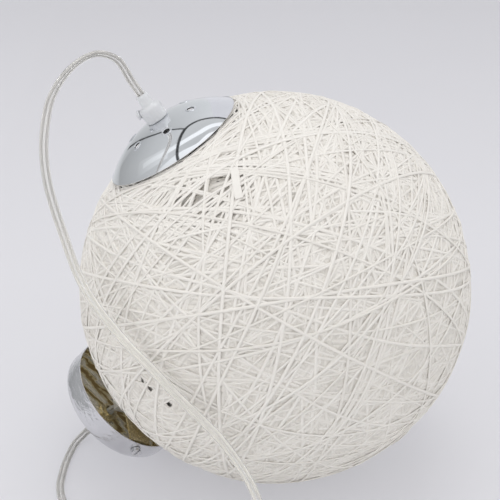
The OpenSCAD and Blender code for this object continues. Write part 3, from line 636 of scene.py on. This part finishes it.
def windingMesh(name, verts, quads, runs, shades):
    mesh = bpy.data.meshes.new(name)
    mesh.vertices.add(len(verts))
    mesh.vertices.foreach_set("co", verts.astype(np.float32).ravel())
    mesh.loops.add(quads.size)
    mesh.loops.foreach_set("vertex_index", quads.astype(np.int32).ravel())
    mesh.polygons.add(len(quads))
    mesh.polygons.foreach_set("loop_start", np.arange(0, quads.size, 4, dtype=np.int32))
    mesh.polygons.foreach_set("use_smooth", np.ones(len(quads), bool))
    mesh.update(calc_edges=True)
    strandRun = mesh.uv_layers.new(name="strandRun")
    strandRun.uv.foreach_set("vector", runs.astype(np.float32).ravel())
    strandShade = mesh.attributes.new("strandShade", "FLOAT", "POINT")
    strandShade.data.foreach_set("value", shades.astype(np.float32))
    mesh.materials.append(gluedString)
    return mesh


for look in windings:
    windingRandom = np.random.default_rng(look["seed"])
    for index in range(look["pieces"]):
        name = f"{look['name']}{index + 1}"
        mesh = windingMesh(name, *windPiece(look, index, windingRandom))
        piece = bpy.data.objects.new(name, mesh)
        bpy.context.scene.collection.objects.link(piece)
        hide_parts("string_globe")
        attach(piece, "lamp")
print("globe wound:", sum(look["pieces"] * look["strands"] for look in windings), "loops")


# one flat strip of the winding stock lies glued beside the largest thin place
strip = {"path": [(34.4, 129.2), (36.4, 126.9), (38.9, 124.2), (41.0, 122.3), (42.8, 121.1)],
         "level": 139.35 * mm, "wide": 2.7 * mm, "thick": 0.18 * mm, "steps": 6,
         "edge": [(1, 0), (0.96, 0.7), (0.6, 1), (-0.6, 1), (-0.96, 0.7)]}  # upper half, as shares


def buildStrip():
    spots = [onGlobe(a, b) for a, b in strip["path"]]
    outward = [v.normalized() for v in smoothRoute(spots, strip["steps"])]
    path = [globeCentre + v * strip["level"] for v in outward]
    broads = [v.cross(ahead) for v, ahead in zip(outward, headings(path))]
    upper = [(strip["wide"] * x, strip["thick"] * y) for x, y in strip["edge"]]
    outline = upper + [(-x, -y) for x, y in upper]
    piece = sweptPiece("flatStrip", path, broads, outline, gluedString)
    shade = piece.data.attributes.new("strandShade", "FLOAT", "POINT")
    shade.data.foreach_set("value", [1.0] * len(piece.data.vertices))
    piece.data.uv_layers.new(name="strandRun")
    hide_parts("string_globe")
    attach(piece, "lamp")


buildStrip()
print("strip glued on")


# domed chrome cap with a rolled rim and vents
cap = {"radius": 49.5 * mm, "ball": 75.47 * mm, "rim": 131.62 * mm, "height": 18.5 * mm,
       "sheet": 0.8 * mm, "tubeHole": 5.2 * mm, "columns": 192, "outSteps": 40, "inSteps": 24,
       "outEnd": 0.2 * mm, "inEnd": 1.4 * mm,  # how far short of the edge each face stops
       "roll": [(0, 0.35), (0.05, 0.1), (0.3, 0), (0.9, 0)],  # mm inward and up from the rim
       "vents": 6, "vent": 2.5 * mm, "ventCircle": 25 * mm, "ventTurn": 53, "cut": 3 * mm}
eyelet = {"wide": 0.7 * mm, "tall": 0.4 * mm, "sunk": 0.1 * mm, "columns": 40, "sides": 12}


def domeOutline(ballRadius, centre, fromRadius, toRadius, steps):
    start, end = math.asin(fromRadius / ballRadius), math.asin(toRadius / ballRadius)
    angles = [start + (end - start) * k / steps for k in range(steps + 1)]
    return [(ballRadius * math.sin(a), centre + ballRadius * math.cos(a)) for a in angles]


def eyeletRing(radius, place):
    turns = [2 * math.pi * k / eyelet["sides"] for k in range(eyelet["sides"])]
    outline = [(radius + eyelet["wide"] * (1 + math.cos(a)) - eyelet["sunk"],
                eyelet["tall"] * math.sin(a)) for a in turns]
    return turnedPiece("ventRim", outline, place, polishedChrome, eyelet["columns"])


def joinPieces(pieces):
    bpy.ops.object.select_all(action="DESELECT")
    for piece in pieces:
        piece.select_set(True)
    bpy.context.view_layer.objects.active = pieces[0]
    bpy.ops.object.join()
    return pieces[0]


def cutAway(piece, cutters):
    for cutter in cutters:
        cut = piece.modifiers.new("cut", "BOOLEAN")
        cut.operation, cut.solver, cut.object = "DIFFERENCE", "EXACT", cutter
    bpy.context.view_layer.objects.active = piece
    for cut in list(piece.modifiers):
        bpy.ops.object.modifier_apply(modifier=cut.name)
    for cutter in cutters:
        bpy.data.objects.remove(cutter)


def plugAt(place, radius, reach, columns=32):
    outline = [(0, -reach), (radius, -reach), (radius, reach), (0, reach)]
    return turnedPiece("ventCutter", outline, place, None, columns, closed=False)


def capProfile(centre):
    outside = domeOutline(cap["ball"], centre, cap["tubeHole"], cap["radius"] - cap["outEnd"],
                          cap["outSteps"])
    inside = domeOutline(cap["ball"] - cap["sheet"], centre, cap["radius"] - cap["inEnd"],
                         cap["tubeHole"], cap["inSteps"])
    roll = [(cap["radius"] - x * mm, cap["rim"] + z * mm) for x, z in cap["roll"]]
    return outside + roll + inside


def buildCap():
    centre = cap["rim"] + cap["height"] - cap["ball"]
    dome = turnedPiece("capDome", capProfile(centre), lampFrame, polishedChrome, cap["columns"])
    z = centre + math.sqrt(cap["ball"] ** 2 - cap["ventCircle"] ** 2)
    lean = math.asin(cap["ventCircle"] / cap["ball"])
    cutters, rims = [], []
    for k in range(cap["vents"]):
        a = math.radians(cap["ventTurn"] + 360 / cap["vents"] * k)
        x, y = cap["ventCircle"] * math.cos(a), cap["ventCircle"] * math.sin(a)
        place = lampFrame @ Matrix.Translation((x, y, z)) @ Matrix.Rotation(a, 4, "Z")
        place = place @ Matrix.Rotation(lean, 4, "Y")
        cutters.append(plugAt(place, cap["vent"], cap["cut"]))
        rims.append(eyeletRing(cap["vent"], place))
    cutAway(dome, cutters)
    dome = joinPieces([dome, *rims])
    sharpen(dome)
    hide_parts("globe_cap")
    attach(dome, "lamp")


buildCap()
print("cap pressed")


# ceiling canopy: a deep dish, chrome outside and tarnished inside
canopy = {"radius": 47.5 * mm, "depth": 30 * mm, "wall": 13 * mm, "sheet": 0.8 * mm,
          "lip": -0.3 * mm, "bands": (-2 * mm, -7 * mm), "steps": 32, "columns": 160,
          "tubeHole": 5.2 * mm, "sideHole": 2.1 * mm, "sideLevel": -6.75 * mm, "sideTurn": -63,
          "cut": 3 * mm}


def dishOutline(radius, depth, fromAngle, toAngle):
    steps = canopy["steps"]
    angles = [math.radians(fromAngle + (toAngle - fromAngle) * k / steps)
              for k in range(steps + 1)]
    return [(radius * math.cos(a), -canopy["wall"] - depth * math.sin(a)) for a in angles]


def buildCanopy():
    radius, sheet = canopy["radius"], canopy["sheet"]
    inner, dome = radius - sheet, canopy["depth"] - canopy["wall"]
    outerHole = math.degrees(math.acos(canopy["tubeHole"] / radius))
    innerHole = math.degrees(math.acos(canopy["tubeHole"] / inner))
    outside = [(radius, z) for z in (canopy["lip"], *canopy["bands"])]
    outside += dishOutline(radius, dome, 0, outerHole)
    inside = dishOutline(inner, dome - sheet, innerHole, 0)
    inside += [(inner, canopy["bands"][-1]), (inner, canopy["lip"]), (radius - sheet / 2, 0)]
    dish = turnedPiece("canopyDish", outside + inside, canopyFrame, wornChrome, canopy["columns"])
    dish.data.materials.append(goldenInside)
    rows = len(outside) + len(inside)
    for face in dish.data.polygons:
        row = face.index // canopy["columns"]
        face.material_index = 1 if len(outside) <= row < rows - 2 else 0  # chrome round the lip
    cutters = []
    for turn in (0, 180):
        a = math.radians(canopy["sideTurn"] + turn)
        place = canopyFrame @ Matrix.Rotation(a, 4, "Z")
        place = place @ Matrix.Translation((radius, 0, canopy["sideLevel"]))
        place = place @ Matrix.Rotation(math.radians(90), 4, "Y")
        cutters.append(plugAt(place, canopy["sideHole"], canopy["cut"]))
    cutAway(dish, cutters)
    sharpen(dish)
    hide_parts("canopy_shell")
    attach(dish, "lamp")


buildCanopy()
print("canopy pressed")


# cord grips: a fluted collar under a plain neck with a rounded mouth
grip = {"collar": 8 * mm, "collarHeight": 11 * mm, "neck": 4.3 * mm, "neckLength": 9 * mm,
        "bore": 3.2 * mm, "thread": 5.05 * mm, "threadDepth": 5.5 * mm,
        "foot": [(0.5, 0), (0, 0.6), (0, 1.2)],  # mm in from the collar and up
        "shoulder": [(0, 2.4), (0.15, 1.5), (0.6, 0.7), (1.4, 0.15), (2.4, -0.15)],  # in and down
        "root": [(0.6, 0.6), (0.2, 1.3), (0, 2.2)],  # mm out from the neck and up
        "mouth": [(0, 1.0), (0.2, 0.35), (0.6, 0)],  # mm in from the neck and down
        "flutes": 18, "flute": 0.1 * mm, "columns": 144, "sharp": 50,
        "capLevel": 149.99 * mm, "canopyLevel": -30.05 * mm}


def gripOutline():
    collar, neck, top = grip["collar"], grip["neck"], grip["collarHeight"]
    end = top + grip["neckLength"]
    outline = [(grip["thread"], 0)] + [(collar - x * mm, z * mm) for x, z in grip["foot"]]
    outline.append((collar, top / 2))
    outline += [(collar - x * mm, top - z * mm) for x, z in grip["shoulder"]]
    outline += [(neck + x * mm, top + z * mm) for x, z in grip["root"]]
    outline += [(neck - x * mm, end - z * mm) for x, z in grip["mouth"]]
    return outline + [(grip["bore"], end), (grip["bore"], grip["threadDepth"]),
                      (grip["thread"], grip["threadDepth"])]


def buildGrip(name, node, place):
    outline = gripOutline()
    verts = []
    for r, z in outline:
        for j in range(grip["columns"]):
            a = 2 * math.pi * j / grip["columns"]
            dip = 0.5 - 0.5 * math.cos(grip["flutes"] * a) if r == grip["collar"] else 0
            reach = r - grip["flute"] * dip
            verts.append(place @ Vector((reach * math.cos(a), reach * math.sin(a), z)))
    faces = ringFaces(len(outline), grip["columns"], closed=True)
    piece = addPiece(name, verts, faces, finishes["milkyNylon"])
    sharpen(piece, grip["sharp"])
    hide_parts(node)
    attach(piece, "lamp")


buildGrip("capGrip", "cap_grip", lampFrame @ Matrix.Translation((0, 0, grip["capLevel"])))
canopyGripTurn = Matrix.Rotation(math.pi, 4, "X") @ Matrix.Rotation(math.pi, 4, "Z")
buildGrip("canopyGrip", "canopy_grip",
          canopyFrame @ Matrix.Translation((0, 0, grip["canopyLevel"])) @ canopyGripTurn)
print("grips moulded")


# CAD pieces whose shape is right keep it and take a finish
cadFinish = {
    "milkyNylon": ["cap_clamp_screw", "canopy_clamp_screw"],
    "zincSteel": ["cap_tube", "cap_nut", "carrier_bar", "carrier_nut"],
    "yellowZinc": ["canopy_tube", "canopy_nut", "ceiling_bracket"],
    "whiteMoulding": ["holder_cap", "holder_skirt", "holder_leads", "canopy_leads", "cap_cord",
                      "canopy_cord"],
    "porcelainGlaze": ["holder_insert"],
    "contactBrass": ["screw_shell", "centre_contact", "holder_terminals"],
    "screwSteel": ["holder_terminal_screws", "terminal_screws", "side_screw_front",
                   "side_screw_back"],
    "terminalPlastic": ["terminal_block"],
    "opalBulb": ["bulb_glass"],
    "brightBase": ["bulb_base", "bulb_button"],
    "blackPlastic": ["bulb_insulator", "coil_tie"],
}
for finish, names in cadFinish.items():
    for name in names:
        mesh = nodes[name].data
        mesh.materials.clear()
        mesh.materials.append(finishes[finish])
        for face in mesh.polygons:
            face.material_index = 0
print("finishes on", sum(len(names) for names in cadFinish.values()), "CAD pieces")


# pale seamless table; a share of what the eye and the chrome see of it is its own glow, painted
# light that lifts the shadows, darkest far back on the floor as a painted falloff
table = {"colour": (0.76, 0.76, 0.78), "rough": 0.7, "blotch": 3.0, "blotchStops": (0.3, 0.7),
         "blotchShade": 0.99, "share": 0.55,
         "seen": [(0.11, (0.66, 0.655, 0.695)), (0.46, (0.49, 0.485, 0.52)),
                  (0.8, (0.80, 0.80, 0.84))],  # from under the globe to the backdrop
         "front": -8.0, "wide": 8.0, "back": 1.4, "bend": 0.8, "bendSteps": 16, "tall": 3.0}


def tableFinish():
    material, tree, shader = newMaterial("paleTable", table["colour"], table["rough"])
    tones = (tuple(c * table["blotchShade"] for c in table["colour"]), table["colour"])
    rampTo(tree, noiseOf(tree, table["blotch"]), list(zip(table["blotchStops"], tones)),
           shader.inputs["Base Color"])
    # painted light: a glow that lifts the shadows, with a painted falloff from under the globe to
    # the backdrop
    glow = addNode(tree, "ShaderNodeEmission")
    rampTo(tree, alongAxis(tree, "Y", 0.0, table["back"] + table["bend"]), table["seen"],
           glow.inputs["Color"])
    rays = addNode(tree, "ShaderNodeLightPath")
    seen = rays.outputs["Is Camera Ray"]
    for kind in ("Is Glossy Ray", "Is Transmission Ray"):
        either = addNode(tree, "ShaderNodeMath", operation="MAXIMUM")
        tree.links.new(seen, either.inputs[0])
        tree.links.new(rays.outputs[kind], either.inputs[1])
        seen = either.outputs["Value"]
    part = addNode(tree, "ShaderNodeMath", operation="MULTIPLY")
    part.inputs[1].default_value = table["share"]
    tree.links.new(seen, part.inputs[0])
    mixOut(tree, shader.outputs["BSDF"], glow.outputs["Emission"], part.outputs["Value"])
    return material


def buildTable():
    back, bend, steps = table["back"], table["bend"], table["bendSteps"]
    turns = [math.pi / 2 * k / steps for k in range(1, steps + 1)]
    profile = [(table["front"], 0.0), (back, 0.0)]
    profile += [(back + bend * math.sin(a), bend * (1 - math.cos(a))) for a in turns]
    profile.append((back + bend, table["tall"]))
    verts = [(x, y, z) for y, z in profile for x in (-table["wide"], table["wide"])]
    addPiece("paleTable", verts, gridFaces(len(profile) - 1, 1), tableFinish())


# cards that only the chrome mirrors, by bearing and height in degrees round the cap;
# each fades along the x axis (0) or the z axis (2)
cards = {
    "centre": (-0.075, 0.01, 0.26), "far": 1.36, "step": 3.0, "pathSteps": 12,
    "fromTint": (0.98, 1, 1.01), "toTint": (0.98, 1, 1.02),
    "rooms": [
        {"name": "sideCard", "bearing": (-150, -38), "height": (-10.5, 51), "fade": 2,
         "from": 0.40, "to": 0.66},
        {"name": "backCard", "bearing": (-38, -3), "height": (-10.5, 50), "fade": 0,
         "from": 0.50, "to": 0.76},
        {"name": "ceilingCard", "bearing": (-150, 70), "height": (51, 86), "fade": 2,
         "from": 0.66, "to": 0.56},
    ],
    "floor": {"name": "floorCard", "corners": [(-1.5, 0.1), (-0.3, 0.1), (-0.3, 1.4), (-1.5, 1.4)],
              "level": 0.002, "fade": 0, "from": 0.36, "to": 0.70},
    "strips": [
        {"name": "topEdgeCard", "path": [(-38, 51), (-28, 50), (-14, 49.5), (7, 50), (40, 51)],
         "wide": 2.4, "reach": 1.33, "fade": 2, "from": 0.07, "to": 0.07},
        {"name": "sideEdgeCard", "path": [(-38, 51), (-42, 28), (-40, 15), (-35, 2), (-29, -9)],
         "wide": 1.6, "reach": 1.33, "fade": 2, "from": 0.07, "to": 0.07},
        {"name": "beamCard", "path": [(-38, 51), (-60, 54.6), (-91, 54.5), (-120, 50)],
         "wide": 2.8, "reach": 1.29, "fade": 2, "from": 0.06, "to": 0.06},
        {"name": "glowCard", "path": [(-70, 14), (-76, 30), (-77, 46)],
         "wide": 13.0, "reach": 1.34, "fade": 2, "from": 0.52, "to": 0.82},
        {"name": "upperStreakCard",
         "path": [(-72, 20), (-76, 41), (-68, 57), (-39, 66), (-5, 62), (20, 56)],
         "wide": 5.0, "reach": 1.33, "fade": 2, "from": 0.70, "to": 1.1},
        {"name": "rimStreakCard", "path": [(-98, 30), (-93, 59), (-80, 75), (-19, 76), (10, 72)],
         "wide": 7.0, "reach": 1.33, "fade": 2, "from": 0.75, "to": 1.1},
    ],
}
cardCentre = Vector(cards["centre"])


def bearingPoint(bearing, height, reach):
    a, e = math.radians(bearing), math.radians(height)
    toward = Vector((math.sin(a) * math.cos(e), math.cos(a) * math.cos(e), math.sin(e)))
    return cardCentre + reach * toward


def cardFinish(card, start, end):
    material = bpy.data.materials.new(card["name"])
    material.use_nodes = True
    tree = material.node_tree
    tree.nodes.remove(tree.nodes["Principled BSDF"])
    glow = addNode(tree, "ShaderNodeEmission")
    stops = [(0.0, tuple(card["from"] * c for c in cards["fromTint"])),
             (1.0, tuple(card["to"] * c for c in cards["toTint"]))]
    rampTo(tree, alongAxis(tree, card["fade"], start, end), stops, glow.inputs["Color"])
    tree.links.new(glow.outputs["Emission"], tree.nodes["Material Output"].inputs["Surface"])
    return material


def hangCard(card, verts, faces):
    spread = [v[card["fade"]] for v in verts]
    piece = addPiece(card["name"], verts, faces, cardFinish(card, min(spread), max(spread)))
    piece.visible_camera = piece.visible_diffuse = False
    piece.visible_shadow = piece.visible_transmission = False


def buildCards():
    for room in cards["rooms"]:
        (left, right), (bottom, top) = room["bearing"], room["height"]
        columns, rows = int((right - left) / cards["step"]), int((top - bottom) / cards["step"])
        verts = [bearingPoint(left + (right - left) * i / columns,
                              bottom + (top - bottom) * j / rows, cards["far"])
                 for j in range(rows + 1) for i in range(columns + 1)]
        hangCard(room, verts, gridFaces(rows, columns))
    floor = cards["floor"]
    hangCard(floor, [(x, y, floor["level"]) for x, y in floor["corners"]], [(0, 1, 2, 3)])
    for card in cards["strips"]:
        spots = [bearingPoint(a, e, 1.0) - cardCentre for a, e in card["path"]]
        middle = smoothRoute(spots, cards["pathSteps"])
        half = math.radians(card["wide"]) / 2
        verts = []
        for at, ahead in zip(middle, headings(middle)):
            aside = at.cross(ahead).normalized() * half
            verts += [cardCentre + card["reach"] * (at + side * aside).normalized()
                      for side in (-1, 1)]
        hangCard(card, verts, gridFaces(len(middle) - 1, 1))


# plain soft light
air = {"colour": (0.985, 0.985, 1.0), "power": 0.90}
lights = [
    {"name": "topSoftbox", "place": (0.15, 0.35, 1.9), "aim": (0, 0, 0.15), "size": (1.0, 0.8),
     "power": 9.8, "mirrored": True},
    {"name": "frontFill", "place": (1.0, -1.6, 0.35), "aim": (0, 0, 0.1), "size": (1.6, 0.8),
     "power": 3.4, "mirrored": False},
    {"name": "leftFill", "place": (-1.7, -0.7, 0.5), "aim": (0, 0, 0.1), "size": (1.0, 0.8),
     "power": 4.8, "mirrored": False},
]


def buildLights():
    world = bpy.data.worlds.new("studioAir")
    world.use_nodes = True
    background = world.node_tree.nodes["Background"]
    background.inputs["Color"].default_value = (*air["colour"], 1)
    background.inputs["Strength"].default_value = air["power"]
    bpy.context.scene.world = world
    for light in lights:
        data = bpy.data.lights.new(light["name"], "AREA")
        data.shape, data.size, data.size_y = "RECTANGLE", *light["size"]
        data.energy = light["power"]
        holder = bpy.data.objects.new(light["name"], data)
        holder.location = light["place"]
        holder.visible_glossy = light["mirrored"]
        toward = Vector(light["aim"]) - holder.location
        holder.rotation_euler = toward.to_track_quat("-Z", "Y").to_euler()
        bpy.context.scene.collection.objects.link(holder)


buildTable()
buildCards()
buildLights()
print("table and light set")
